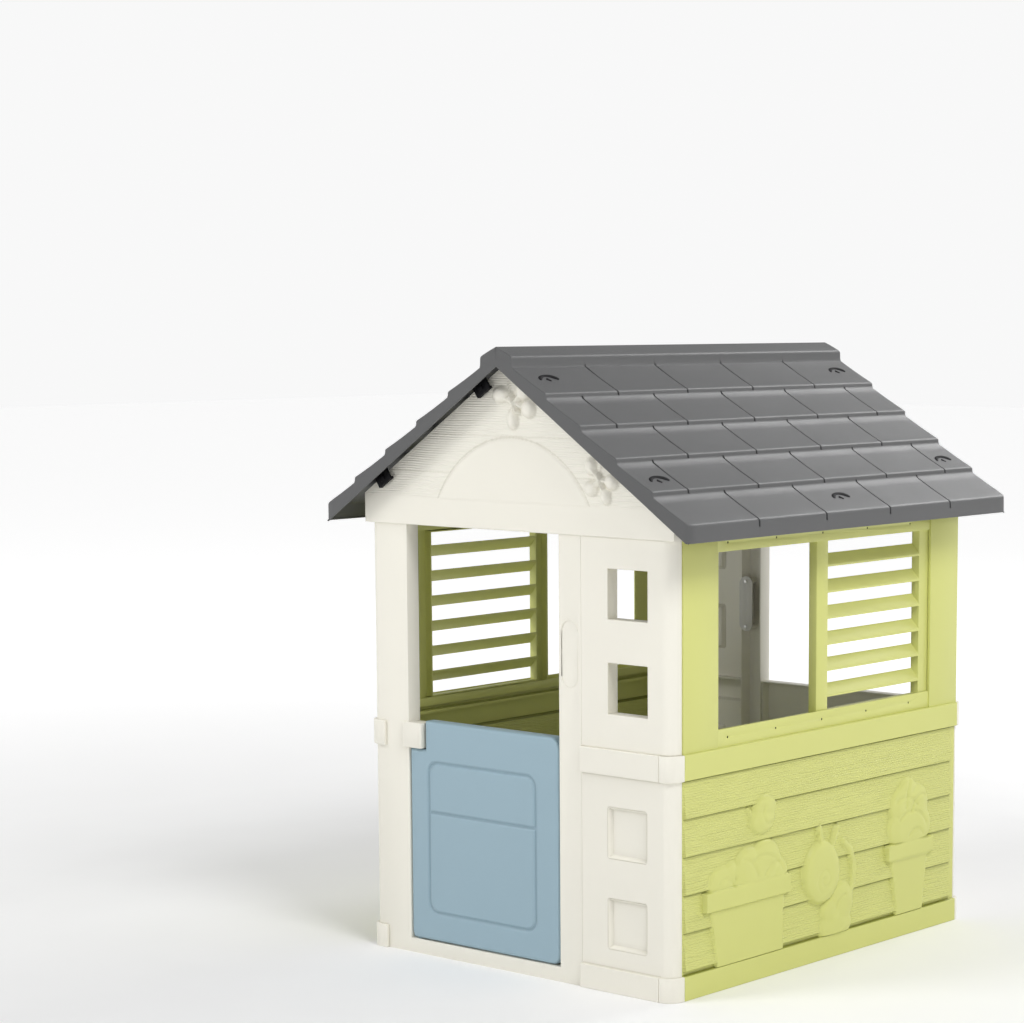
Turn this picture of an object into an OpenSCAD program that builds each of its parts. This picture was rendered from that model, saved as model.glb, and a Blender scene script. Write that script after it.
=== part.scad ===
/* [Walls] */
// Half the width across the two side walls
half_w = 409; // [380:1:440]
// Half the depth across the front and rear walls
half_d = 502; // [470:1:530]
// Height of the walls below the gable
wall_top = 903; // [850:1:960]
// Bottom of the raised belt round the house
belt_low = 435; // [400:1:460]
// Top of the raised belt, where upper and lower panels meet
belt_top = 487; // [470:1:520]
// Height of the raised skirting
skirt_top = 49; // [35:1:70]
// How far belt, skirting and corner caps stand proud
proud = 7; // [4:1:9]
// Thickness of the moulded skins
skin = 3; // [2.5:0.5:4]
// Depth of the wall mouldings
wall_depth = 32; // [26:1:34]
// Radius of the vertical house corners
corner_r = 25; // [12:1:28]

/* [Doorway] */
// Left edge of the doorway
door_left = -301; // [-310:1:-290]
// Right edge of the doorway
door_right = 120; // [100:1:125]
// Right edge of the door jamb
jamb_right = 178; // [170:1:190]
// Height of the sill
sill_top = 30; // [25:1:40]
// Height of the top edge of the door
leaf_top = 495; // [480:1:520]
// Thickness of the door
leaf_t = 28; // [26:1:30]
// Distance of the hinge axis from the hinge side of the doorway
pivot_inset = 19; // [19:0.5:20]
// Distance of the hinge axis behind the face of the door
pivot_back = 10; // [9:0.5:11]
// Radius of the hinge pins
pin_r = 5; // [4:0.5:6]
// Radial running clearance of the hinge pins
pin_gap = 0.08; // [0.02:0.01:0.1]

/* [Side window] */
// Front edge of the side opening
window_front = -358; // [-370:1:-340]
// Rear edge of the side opening
window_rear = 375; // [350:1:380]
// Bottom of the side opening
window_low = 523; // [515:1:540]
// Top of the side opening
window_top = 873; // [850:1:880]
// Width of the sliding shutter
shutter_w = 410; // [380:1:411]
// Thickness of the sliding shutter
shutter_t = 20; // [16:1:20]
// Number of slots in the shutter
slot_count = 7; // [3:1:7]
// Height of one slot, and of one slat
slot_h = 27; // [20:0.5:27]

/* [Roof] */
// Half the width of the roof
roof_half = 490; // [470:1:500]
// Half the length of the roof
roof_end = 550; // [530:1:570]
// Height of the ridge
ridge_z = 1270; // [1265:1:1280]
// Number of tile rows down one side
row_count = 5; // [3:1:5]
// Length of one tile along the ridge
tile_l = 221; // [200:1:240]
// Thickness of the roof skin
roof_t = 4; // [3:0.5:4]

/* [Hidden] */
$fn = 48;

cream = "#ECE9DE";
lime = "#D3D97F";
blue = "#9DB5C3";
slate = "#6B6B6D";
black = "#2E2E30";
grey = "#C9C7C0";

// Wall seams: the side walls stop short of the corners
post_depth = 22;
side_front = -half_d + wall_depth;
side_rear = half_d - post_depth;
cap_in = 381;
post_cap_in = 366;

// Small windows of the gable walls: left and right edge, then the two heights
pane_x = [247, 348];
pane_z = [[556, 657], [743, 842]];
recess_x = [246, 346];
recess_z = [[87, 189], [269, 372]];
recess_d = 9;

// Door
pivot_x = door_left + pivot_inset;
leaf_front = half_d - 1;
leaf_back = leaf_front - leaf_t;
pivot_y = -leaf_front + pivot_back;
leaf_left = door_left + 2;
leaf_right = door_right - 4;
leaf_low = sill_top + 2;
notch_low = belt_low;
notch_right = pivot_x + 26;
bracket_low = notch_low + 2;
bracket_top = leaf_top - 5;
bracket_left = door_left - 13;

// Shutter and its rails, in the plane of a side wall
shutter_face = half_w - skin - 1;
tuck = 6;
shutter_rear = window_rear + tuck;
shutter_front = shutter_rear - shutter_w;
shutter_low = window_low - 12;
shutter_top = window_top + 12;
stile = 39;
rail_back = shutter_face - shutter_t - 1;
rail_gap = 0.5;
rail_h = 10;
rail_lip = 7;
peg_pitch = 157;
peg_r = 2.5;
peg_z = [shutter_low - rail_gap - rail_h / 2, shutter_top + rail_gap + rail_h / 2];

// Roof: each row falls, then drops to the next; the underside follows one straight line
rake = 0.676;
row_start = 40;
row_w = (roof_half - row_start) / row_count;
row_fall = 50.3;
row_drop = 10;
row_top = 1231;
cap_edge_z = 1251;
eave_z = 905;
rake_line_z = 1231;
gable_line_z = 1246;
gable_face = half_d + 4;
gable_half = 418;
clip_places = [72, 353];
clip_t = 4;
eave_clip_half = 30;
eave_clip_h = 40;

plank_count = 5;
plank_rise = (belt_low - skirt_top - 9) / plank_count;

// Joint plates on the door posts and the screws at the house corners
plate_x = 160;
plate_z = [604, 732];
plate_w = 37;
plate_screw_z = [614, 720];
corner_screw_z = [120, 380, 600, 800];

// A wall of a side or an end is drawn facing -Y and turned into place
module right_side() rotate([0, 0, 90]) children();
module left_side() rotate([0, 0, -90]) children();
module rear_side() rotate([0, 0, 180]) children();

module block(lo, hi) translate(lo) cube(hi - lo);

// Block with one rounded vertical edge at its low-x, low-y corner
module round_block(lo, hi, r) {
    block([lo[0] + r, lo[1], lo[2]], hi);
    if (hi[1] > lo[1] + r) block([lo[0], lo[1] + r, lo[2]], [lo[0] + r, hi[1], hi[2]]);
    intersection() {
        translate([lo[0] + r, lo[1] + r, lo[2]]) cylinder(r = r, h = hi[2] - lo[2]);
        block(lo, [lo[0] + r, min(lo[1] + r, hi[1]), hi[2]]);
    }
}

// Open-backed moulding with its face at y = -face
module tray(x0, x1, z0, z1, face = half_d, depth = wall_depth) {
    difference() {
        block([x0, -face, z0], [x1, depth - face, z1]);
        block([x0 + skin, skin - face, z0 + skin], [x1 - skin, depth - face + 1, z1 - skin]);
    }
}

// The same moulding with one rounded house corner on its left
module corner_tray(x0, x1, z0, z1, depth) {
    difference() {
        round_block([x0, -half_d, z0], [x1, depth - half_d, z1], corner_r);
        round_block([x0 + skin, skin - half_d, z0 + skin],
            [x1 - skin, depth - half_d + 1, z1 - skin], corner_r - skin);
    }
}

// Walls round a window, as deep as the moulding
module reveal(x0, x1, z0, z1, face, depth) {
    block([x0 - skin, -face, z0 - skin], [x1 + skin, depth - face, z1 + skin]);
}

module stadium(x, z0, z1, w, y0, y1) {
    for (z = [z0 + w / 2, z1 - w / 2])
        translate([x, y0, z]) rotate([-90, 0, 0]) cylinder(r = w / 2, h = y1 - y0);
    block([x - w / 2, y0, z0 + w / 2], [x + w / 2, y1, z1 - w / 2]);
}

module y_peg(x, y0, y1, z, r) translate([x, y0, z]) rotate([-90, 0, 0]) cylinder(r = r, h = y1 - y0);

module door_frame() {
    deep = wall_depth + 2;
    difference() {
        union() {
            corner_tray(-half_w, door_left, 0, wall_top, post_depth);
            block([door_left - skin, -half_d, 0], [door_left, deep - half_d, wall_top]);
            tray(door_left - skin, door_right + skin, 0, sill_top, depth = deep);
            tray(door_right, jamb_right, 0, wall_top, depth = deep);
            for (z = plate_screw_z) y_peg(plate_x, skin - half_d, deep - half_d, z, 6);
        }
        stadium((door_right + 6 + jamb_right - 8) / 2, 600, 734, 44, -half_d - 1, 1 - half_d);
        for (z = plate_screw_z) y_peg(plate_x, deep - 16 - half_d, deep - half_d + 1, z, 2);
        translate([pivot_x, pivot_y, sill_top - 14]) cylinder(r = pin_r + pin_gap, h = 20);
    }
    difference() {
        translate([pivot_x, pivot_y, skin]) cylinder(r = pin_r + 5, h = sill_top - skin);
        translate([pivot_x, pivot_y, sill_top - 14]) cylinder(r = pin_r + pin_gap, h = 20);
    }
}

module upper_panel(blind) {
    difference() {
        union() {
            mirror([1, 0, 0]) corner_tray(-half_w, -jamb_right, belt_top, wall_top, wall_depth);
            for (z = pane_z)
                reveal(pane_x[0], pane_x[1], z[0], z[1], half_d, blind ? 12 : wall_depth - 2);
        }
        for (z = pane_z)
            block([pane_x[0], -half_d - 1, z[0]],
                [pane_x[1], blind ? recess_d - half_d : 1 - half_d + wall_depth, z[1]]);
    }
}

module lower_panel() {
    difference() {
        union() {
            mirror([1, 0, 0]) corner_tray(-half_w, -jamb_right, 0, belt_top, wall_depth);
            for (z = recess_z)
                reveal(recess_x[0], recess_x[1], z[0], z[1], half_d, recess_d + skin);
            block([jamb_right, -half_d - proud, belt_low], [cap_in, -half_d, belt_top]);
            block([jamb_right, -half_d - proud, 0], [cap_in, -half_d, skirt_top]);
        }
        for (z = recess_z)
            block([recess_x[0], -half_d - 1, z[0]], [recess_x[1], recess_d - half_d, z[1]]);
    }
}

// Gable outline, drawn in by t on every side
module gable_outline(t) {
    top = gable_line_z - t * sqrt(1 + rake * rake);
    edge = top - rake * (gable_half - t);
    polygon([[t - gable_half, wall_top + t], [gable_half - t, wall_top + t],
        [gable_half - t, edge], [0, top], [t - gable_half, edge]]);
}

module upright(y0, y1) translate([0, y1, 0]) rotate([90, 0, 0]) linear_extrude(y1 - y0) children();

// A small ornament of four lobes round a body
module butterfly(x, z, s) {
    translate([x, z]) {
        for (m = [0, 1]) mirror([m, 0, 0]) {
            translate([30 * s, 18 * s]) circle(r = 27 * s);
            translate([22 * s, -20 * s]) circle(r = 20 * s);
        }
        translate([-6 * s, -36 * s]) square([12 * s, 66 * s]);
    }
}

module gable() {
    difference() {
        upright(-gable_face, wall_depth - 6 - gable_face) gable_outline(0);
        upright(skin - gable_face, wall_depth - gable_face) gable_outline(skin);
    }
    upright(-gable_face - 2, -gable_face) intersection() {
        translate([0, 862]) circle(r = 225, $fn = 96);
        translate([-230, 962]) square([460, 200]);
    }
    upright(-gable_face - 5, -gable_face) butterfly(6, 1163, 1);
    upright(-gable_face - 5, -gable_face) butterfly(222, 1003, 0.72);
}

module joint_plate() {
    back = wall_depth + 2 - half_d;
    difference() {
        stadium(plate_x, plate_z[0], plate_z[1], plate_w, back, back + 4);
        for (z = plate_screw_z) y_peg(plate_x, back - 1, back + 5, z, 2);
    }
}

module joint_screws() {
    back = wall_depth + 2 - half_d;
    for (z = plate_screw_z) {
        y_peg(plate_x, back - 14, back + 4, z, 2);
        y_peg(plate_x, back + 4, back + 6, z, 4.5);
    }
}

// Upright bar with its four edges rounded
module rounded_bar(lo, hi, r) {
    for (x = [lo[0] + r, hi[0] - r], y = [lo[1] + r, hi[1] - r])
        translate([x, y, lo[2]]) cylinder(r = r, h = hi[2] - lo[2]);
    block([lo[0] + r, lo[1], lo[2]], [hi[0] - r, hi[1], hi[2]]);
    block([lo[0], lo[1] + r, lo[2]], [hi[0], hi[1] - r, hi[2]]);
}

module hinge_bracket() {
    front = pivot_y - 17;
    right = pivot_x + 21;
    difference() {
        union() {
            block([bracket_left, front, bracket_low], [door_left, -half_d, bracket_top]);
            block([door_left, front, bracket_low], [pivot_x, -leaf_back, bracket_top]);
            rounded_bar([door_left, front, bracket_low], [right, -leaf_back, bracket_top], 5);
        }
        translate([pivot_x, pivot_y, bracket_low - 1]) cylinder(r = pin_r + pin_gap, h = 31);
    }
}

// Cuts away a square corner on the free edge of the door, leaving radius r
module leaf_corner(r, z, up) {
    translate([leaf_right - r, -leaf_front - 1, z - up * r]) rotate([-90, 0, 0]) difference() {
        block([0, up > 0 ? -r - 1 : 0, 0], [r + 1, up > 0 ? 0 : r + 1, leaf_t + 2]);
        translate([0, 0, -1]) cylinder(r = r, h = leaf_t + 4);
    }
}

// Sunk outline of width w
module groove(x0, x1, z0, z1, w, deep) {
    difference() {
        block([x0, -leaf_front - 1, z0], [x1, deep - leaf_front, z1]);
        block([x0 + w, -leaf_front - 2, z0 + w], [x1 - w, deep - leaf_front + 1, z1 - w]);
    }
}

// Hollow inside the door, between x0 and x1 and up to z1
module leaf_hollow(x0, x1, z1) {
    block([x0, 6 - leaf_front, leaf_low + skin], [x1, -leaf_back - skin, z1 - skin]);
}

module leaf() {
    difference() {
        rounded_bar([leaf_left, -leaf_front, leaf_low], [leaf_right, -leaf_back, leaf_top], 8);
        block([leaf_left - 1, -leaf_front - 1, notch_low], [notch_right, 1 - leaf_back, leaf_top + 1]);
        leaf_corner(25, leaf_top, 1);
        leaf_corner(20, leaf_low, -1);
        groove(-250, 56, 88, 414, 9, skin);
        groove(-250, 56, 88, 310, 9, skin);
        leaf_hollow(pivot_x + 12, leaf_right - 20, notch_low);
        leaf_hollow(notch_right + skin, leaf_right - 28, leaf_top);
    }
    translate([pivot_x, pivot_y, notch_low]) cylinder(r = pin_r, h = 28);
    translate([pivot_x, pivot_y, sill_top - 12]) cylinder(r = pin_r, h = leaf_low - sill_top + 12);
}

module infill_panel() {
    face = half_d - 4;
    tray(door_left + 1, door_right - 1, sill_top, leaf_top - 5, face, 26);
    block([door_left + 1, -face - 3, belt_low + 11], [door_right - 1, -face, leaf_top - 5]);
}

// Side wall mouldings, drawn facing -Y with x along the wall from front to rear
module window_frame() {
    band_front = window_front - 5;
    difference() {
        union() {
            tray(side_front, side_rear, belt_top, wall_top, half_w, 30);
            block([window_rear, -half_w - 3, belt_top], [side_rear, -half_w, wall_top]);
            block([side_front, -half_w - 3, belt_top], [band_front, -half_w, wall_top]);
        }
        block([window_front, -half_w - 4, window_low], [window_rear, 1 - half_w + skin, window_top]);
        for (z = peg_z, i = [-2:2]) y_peg(i * peg_pitch - 14, -half_w - 1, 5 - half_w, z, peg_r);
    }
}

module rail(z_floor, z_in, z_lip) {
    difference() {
        union() {
            block([side_front + 6, -half_w + skin, min(z_floor, z_in)],
                [side_rear - 6, -rail_back, max(z_floor, z_in)]);
            block([side_front + 6, -rail_back, min(z_floor, z_lip)],
                [side_rear - 6, -rail_back + skin, max(z_floor, z_lip)]);
            for (x = [window_front - tuck - 8, shutter_rear + 1])
                block([x, -half_w + skin, min(z_in, z_lip)], [x + 7, -rail_back, max(z_in, z_lip)]);
        }
        for (i = [-2:2])
            y_peg(i * peg_pitch - 14, -half_w, -half_w + 16, (z_floor + z_in) / 2, peg_r);
    }
}

module rail_bottom() {
    z = shutter_low - rail_gap;
    rail(z - rail_h, z, shutter_low + rail_lip);
}

module rail_top() {
    z = shutter_top + rail_gap;
    rail(z + rail_h, z, shutter_top - rail_lip);
}

module rail_pegs() {
    for (z = peg_z, i = [-2:2])
        y_peg(i * peg_pitch - 14, -half_w + 1, -half_w + 14, z, peg_r);
}

module slat(z) {
    in = -shutter_face + shutter_t;
    translate([shutter_front + stile, 0, 0]) rotate([90, 0, 90])
        linear_extrude(shutter_w - 2 * stile)
            polygon([[-shutter_face, z], [-shutter_face, z + 5], [in, z + slot_h], [in, z + slot_h - 5]]);
}

module shutter() {
    slots_low = shutter_low + 10;
    slots_top = slots_low + (2 * slot_count - 1) * slot_h;
    difference() {
        tray(shutter_front, shutter_rear, shutter_low, shutter_top, shutter_face, shutter_t);
        block([shutter_front + stile, -shutter_face - 1, slots_low],
            [shutter_rear - stile, 1, slots_top]);
    }
    difference() {
        block([shutter_front + stile - skin, -shutter_face, slots_low - skin],
            [shutter_rear - stile + skin, -shutter_face + shutter_t, slots_top + skin]);
        block([shutter_front + stile, -shutter_face - 1, slots_low],
            [shutter_rear - stile, 1, slots_top]);
    }
    for (i = [1:slot_count - 1]) slat(slots_low + (i * 2 - 1) * slot_h);
}

// One lap of cladding, thicker at its lower edge
module plank(z) {
    translate([side_front + 2, 0, 0]) rotate([90, 0, 90]) linear_extrude(side_rear - side_front - 19)
        polygon([[-half_w, z], [-half_w - 4, z], [-half_w - 4, z + 3], [-half_w, z + plank_rise - 2]]);
}

module long_planter() {
    polygon([[-410, 205], [-393, 163], [-387, 163], [-369, 57], [-152, 57], [-148, 163], [-132, 200]]);
    for (x = [-352, -290, -215]) translate([x, 215]) circle(r = 50);
}

module tall_pot() {
    polygon([[215, 207], [228, 168], [236, 168], [250, 59], [351, 59], [362, 168], [368, 168], [384, 207]]);
    translate([301, 262]) circle(r = 82);
}

module small_bird() {
    translate([-219, 340]) circle(r = 32);
    translate([-205, 370]) circle(r = 17);
    polygon([[-248, 355], [-269, 372], [-240, 330]]);
}

module small_cat() {
    translate([-20, 182]) circle(r = 62);
    translate([52, 140]) circle(r = 46);
    polygon([[-60, 225], [-52, 272], [-20, 240]]);
    polygon([[0, 240], [32, 262], [34, 210]]);
    translate([20, 85]) circle(r = 28);
    translate([78, 205]) circle(r = 22);
}

module side_lower_panel() {
    tray(side_front, side_rear, 0, belt_top, half_w, 30);
    block([side_front, -half_w - proud, belt_low], [side_rear, -half_w, belt_top]);
    block([side_front, -half_w - proud, 0], [side_rear, -half_w, skirt_top]);
    for (i = [0:plank_count - 1]) plank(skirt_top + 9 + i * plank_rise);
    upright(-half_w - 9, -half_w) {
        long_planter();
        tall_pot();
        small_bird();
        small_cat();
    }
}

// Cap round a house corner, drawn at the front left
module corner_cap(x_in, y_in, z0, z1) {
    difference() {
        round_block([-half_w - proud, -half_d - proud, z0], [-x_in, -y_in, z1], corner_r + proud);
        round_block([-half_w, -half_d, z0 - 1], [1 - x_in, 1 - y_in, z1 + 1], corner_r);
    }
}

module post_cap(z0, z1) corner_cap(post_cap_in, side_rear, z0, z1);
module panel_cap(z0, z1) mirror([1, 0, 0]) corner_cap(cap_in, -side_front, z0, z1);

// Points of one roof side from the ridge cap to the eave, lowered by t
function row_points(t) = [for (i = [0:row_count - 1], e = [0, 1])
    [row_start + (i + e) * row_w, row_top - i * (row_fall + row_drop) - e * row_fall - t]];
function roof_top(t) = concat([[0, ridge_z - t], [row_start, cap_edge_z - t]], row_points(t));
function lower_line(z0, x1) = [[x1, z0 - rake * x1], [0, z0]];

module roof_half_shell() {
    upright(-roof_end, roof_end)
        polygon(concat(roof_top(0), [[roof_half, eave_z], [roof_half - roof_t, eave_z],
            [roof_half - roof_t, row_points(roof_t)[2 * row_count - 1][1]]],
            [for (i = [2 * row_count - 2:-1:0]) row_points(roof_t)[i] - [i % 2 == 0 ? roof_t : 0, 0]],
            [[row_start - roof_t, cap_edge_z - roof_t], [0, ridge_z - roof_t]]));
    for (y = [-roof_end, roof_end - roof_t]) upright(y, y + roof_t)
        polygon(concat(roof_top(0), [[roof_half, eave_z],
            [(rake_line_z - eave_z) / rake, eave_z], [0, rake_line_z]]));
    for (y = [-half_d + 4, half_d - 4 - roof_t]) upright(y, y + roof_t)
        polygon(concat(roof_top(1), lower_line(gable_line_z, gable_half)));
}

module tile_joints() {
    for (i = [0:row_count - 1], k = [-2:2]) {
        y = (k + (i % 2 == 0 ? 0.5 : 0)) * tile_l;
        if (abs(y) < roof_end - 20)
            translate([row_start + (i + 0.5) * row_w + 2,
                y, row_top - i * (row_fall + row_drop) - row_fall / 2])
                rotate([0, atan(row_fall / row_w), 0])
                    cube([row_w * 1.14 - 4, 4, 4], center = true);
    }
}

module roof_half_tiled() {
    difference() {
        roof_half_shell();
        tile_joints();
    }
}

// Hook under the roof edge that holds the gable
module roof_clip(x, y) {
    z = gable_line_z - rake * x;
    translate([x, y, z]) rotate([0, atan(rake), 0]) {
        block([-20, -16, -24], [20, -10, 3]);
        block([-20, -16, -24], [20, -6, -19]);
        block([-6, -20, -18], [6, -16, -8]);
    }
}

module gable_clips() {
    for (m = [0, 1], x = clip_places) mirror([m, 0, 0]) roof_clip(x, -half_d - 6);
}

module eave_clip() {
    block([half_w, -eave_clip_half, wall_top], [half_w + clip_t, eave_clip_half, wall_top + eave_clip_h]);
    block([half_w, -eave_clip_half, wall_top + eave_clip_h - clip_t],
        [half_w + 24, eave_clip_half, wall_top + eave_clip_h]);
    block([half_w - 16, -eave_clip_half, wall_top], [half_w + clip_t, eave_clip_half, wall_top + clip_t]);
}

// Screws that draw the end of a side wall to the wall beside it
module corner_screws() {
    for (z = corner_screw_z) {
        y_peg(half_w - 16, side_front + skin, side_front + skin + 3, z, 5);
        y_peg(16 - half_w, side_front - 7, side_front - 4, z, 5);
    }
}

color(cream) door_frame();  // front_door_frame
color(cream) upper_panel(false);  // front_upper_panel
color(cream) lower_panel();  // front_lower_panel
color(cream) gable();  // front_gable
color(grey) joint_plate();  // front_joint_plate
color(black) joint_screws();  // front_joint_screws
color(cream) hinge_bracket();  // door_hinge_bracket
color(blue) leaf();  // door_leaf
color(cream) rear_side() door_frame();  // rear_door_frame
color(cream) rear_side() upper_panel(true);  // rear_upper_panel
color(cream) rear_side() lower_panel();  // rear_lower_panel
color(cream) rear_side() gable();  // rear_gable
color(grey) rear_side() joint_plate();  // rear_joint_plate
color(black) rear_side() joint_screws();  // rear_joint_screws
color(cream) rear_side() infill_panel();  // rear_infill_panel
color(lime) right_side() window_frame();  // right_window_frame
color(lime) right_side() side_lower_panel();  // right_lower_panel
color(lime) right_side() rail_top();  // right_rail_top
color(lime) right_side() rail_bottom();  // right_rail_bottom
color(black) right_side() rail_pegs();  // right_rail_pegs
color(lime) right_side() shutter();  // right_shutter
color(lime) left_side() window_frame();  // left_window_frame
color(lime) left_side() side_lower_panel();  // left_lower_panel
color(lime) left_side() rail_top();  // left_rail_top
color(lime) left_side() rail_bottom();  // left_rail_bottom
color(black) left_side() rail_pegs();  // left_rail_pegs
color(lime) left_side() shutter();  // left_shutter
color(cream) post_cap(belt_low, belt_top);  // front_left_belt_cap
color(cream) post_cap(0, skirt_top);  // front_left_skirt_cap
color(cream) panel_cap(belt_low, belt_top);  // front_right_belt_cap
color(cream) panel_cap(0, skirt_top);  // front_right_skirt_cap
color(cream) rear_side() post_cap(belt_low, belt_top);  // rear_right_belt_cap
color(cream) rear_side() post_cap(0, skirt_top);  // rear_right_skirt_cap
color(cream) rear_side() panel_cap(belt_low, belt_top);  // rear_left_belt_cap
color(cream) rear_side() panel_cap(0, skirt_top);  // rear_left_skirt_cap
color(slate) roof_half_tiled();  // roof_right
color(slate) rear_side() roof_half_tiled();  // roof_left
color(black) gable_clips();  // front_roof_clips
color(black) rear_side() gable_clips();  // rear_roof_clips
color(black) for (m = [0, 1]) mirror([m, 0, 0]) eave_clip();  // eave_clips
color(grey) corner_screws();  // front_corner_screws
color(grey) rear_side() corner_screws();  // rear_corner_screws
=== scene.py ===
import math

import bmesh
import bpy
import numpy as np
from mathutils import Matrix, Vector


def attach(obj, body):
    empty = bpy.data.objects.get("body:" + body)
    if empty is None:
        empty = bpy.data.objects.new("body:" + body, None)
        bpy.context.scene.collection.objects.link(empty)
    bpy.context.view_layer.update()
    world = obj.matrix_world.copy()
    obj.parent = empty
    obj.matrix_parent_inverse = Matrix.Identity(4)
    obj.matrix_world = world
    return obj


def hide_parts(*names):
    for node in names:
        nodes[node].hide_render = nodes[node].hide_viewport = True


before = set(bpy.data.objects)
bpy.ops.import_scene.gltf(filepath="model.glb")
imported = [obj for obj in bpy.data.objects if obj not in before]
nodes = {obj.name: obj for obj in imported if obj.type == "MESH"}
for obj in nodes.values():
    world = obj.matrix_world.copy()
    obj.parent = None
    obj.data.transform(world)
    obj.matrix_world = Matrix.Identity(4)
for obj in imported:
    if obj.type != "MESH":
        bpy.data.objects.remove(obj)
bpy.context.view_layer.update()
scene = bpy.context.scene
MM = 0.001

# ---------------------------------------------------------------- sizes, in millimetres
half_w, half_d = 409, 502
wall_top, belt_low, belt_top, skirt_top = 903, 435, 487, 49
proud, skin = 7, 3
door_right, jamb_right, sill_top = 120, 178, 30
side_front, side_rear = -470, 480
corner_r = 25
cap_edge = 381
gable_face, gable_half, gable_line, rake = 506, 418, 1246, 0.676
rake_line = 1231
roof_half, roof_end, ridge_z, eave_z = 490, 550, 1270, 905
row_start, row_w, row_fall, row_drop, row_top = 40, 90, 50.3, 10, 1231
tile_l = 221


# ---------------------------------------------------------------- shader nodes as expressions
class Socket:
    """One output socket; arithmetic on it adds Math nodes."""

    def __init__(self, tree, out):
        self.tree, self.out = tree, out

    def math(self, kind, other=None):
        values = {0: self} if other is None else {0: self, 1: other}
        return self.tree.add("ShaderNodeMath", {"operation": kind}, values)

    def __add__(self, o):
        return self.math("ADD", o)

    def __mul__(self, o):
        return self.math("MULTIPLY", o)

    __radd__, __rmul__ = __add__, __mul__


class Tree:
    """A material's nodes: add() makes one and returns its first output."""

    def __init__(self, name):
        self.material = bpy.data.materials.new(name)
        self.material.use_nodes = True
        self.nodes = self.material.node_tree.nodes
        self.links = self.material.node_tree.links
        self.shader = self.nodes["Principled BSDF"]

    def put(self, node, values):
        for key, value in values.items():
            if isinstance(value, Socket):
                self.links.new(value.out, node.inputs[key])
            else:
                node.inputs[key].default_value = value

    def add(self, kind, settings=None, values=None, out=0):
        node = self.nodes.new(kind)
        for key, value in (settings or {}).items():
            setattr(node, key, value)
        self.put(node, values or {})
        return Socket(self, node.outputs[out])

    def mix(self, factor, a, b):
        settings = {"data_type": "RGBA"}
        return self.add("ShaderNodeMix", settings, {0: factor, 6: a, 7: b}, out=2)

    def place(self, scale):
        where = self.add("ShaderNodeTexCoord", out=3)
        return self.add("ShaderNodeMapping", None, {"Vector": where, "Scale": scale})

    def noise(self, scale, detail=3.0, rough=0.5):
        values = {"Vector": self.place(scale), "Scale": 1.0, "Detail": detail, "Roughness": rough}
        return self.add("ShaderNodeTexNoise", None, values)


def shade(color, k):
    return (color[0] * k, color[1] * k, color[2] * k, 1.0)


ridge_pitch = 0.0048


def moulded_plastic(name, color, rough, grain=0.0, cloud=0.05, pores=0.00012, gloss=0.5, painted_shade_tone=0.35):
    """Injection-moulded plastic: soft clouding, fine pores, painted shade in creases and joints and, where
    asked, wood lines.
    """
    t = Tree(name)
    clouds = t.noise((2.3, 2.3, 2.3), 4.0, 0.55)
    clean = t.mix(clouds, shade(color, 1 + cloud), shade(color, 1 - cloud))
    # Painted shade: the gap attribute darkens the base colour in creases, joints and under board edges.
    gap = t.add("ShaderNodeAttribute", {"attribute_name": "gap"}, out=2)
    t.put(t.shader, {"Base Color": t.mix(gap, clean, shade([c * c for c in color], painted_shade_tone))})
    flow = t.noise((9, 9, 3), 3.0)
    t.put(t.shader, {"Roughness": flow * 0.12 + (rough - 0.06)})
    height = t.noise((900, 900, 900), 2.0) * pores
    if grain:
        lines = t.noise((6, 6, 210), 2.0, 0.5)
        swirl = t.noise((4, 4, 9), 2.0, 0.5)
        level = t.add("ShaderNodeSeparateXYZ", None, {"Vector": t.place((1, 1, 1))}, out=2)
        ridges = (level * (2 * math.pi / ridge_pitch) + swirl * 16.0).math("SINE")
        share = t.add("ShaderNodeAttribute", {"attribute_name": "grain"}, out=2)
        height = height + (lines * grain + ridges * (grain * 0.2)) * share
    bump = t.add("ShaderNodeBump", None, {"Height": height, "Strength": 1.0, "Distance": 1.0})
    t.put(t.shader, {"Normal": bump, "IOR": 1.5, "Specular IOR Level": gloss})
    return t.material


def plated_steel(name):
    """Bright zinc plate with fine drawn marks."""
    t = Tree(name)
    marks = t.noise((600, 600, 40), 3.0)
    t.put(t.shader, {"Base Color": t.mix(marks, (0.5, 0.5, 0.51, 1), (0.68, 0.67, 0.65, 1))})
    t.put(t.shader, {"Metallic": 1.0, "Roughness": marks * 0.25 + 0.25})
    return t.material


cream = moulded_plastic("cream_plastic", (0.83, 0.805, 0.715), 0.42, grain=0.0012, cloud=0.02, painted_shade_tone=0.75)
lime = moulded_plastic("lime_plastic", (0.62, 0.635, 0.20), 0.42, grain=0.0017, cloud=0.035, painted_shade_tone=0.55)
blue = moulded_plastic("blue_plastic", (0.305, 0.43, 0.50), 0.42, cloud=0.03)
slate = moulded_plastic("slate_plastic", (0.088, 0.089, 0.090), 0.40, cloud=0.12, pores=0.0003)
dark = moulded_plastic("dark_plastic", (0.006, 0.006, 0.007), 0.6, cloud=0.1, gloss=0.15)
grey = moulded_plastic("grey_plastic", (0.60, 0.59, 0.56), 0.4, cloud=0.03)
steel = plated_steel("screw_steel")


# ---------------------------------------------------------------- finishing a piece
def finish_piece(obj, material, body, replaced=()):
    """Gives a finished mesh its material and body, and hides the CAD nodes that it stands for."""
    obj.data.materials.clear()
    obj.data.materials.append(material)
    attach(obj, body)
    if replaced:
        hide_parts(*replaced)
    return obj


def bake_modifiers(obj):
    """Applies the modifiers by taking the evaluated mesh."""
    mesh = bpy.data.meshes.new_from_object(obj.evaluated_get(bpy.context.evaluated_depsgraph_get()))
    obj.modifiers.clear()
    obj.data = mesh
    return obj


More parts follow.
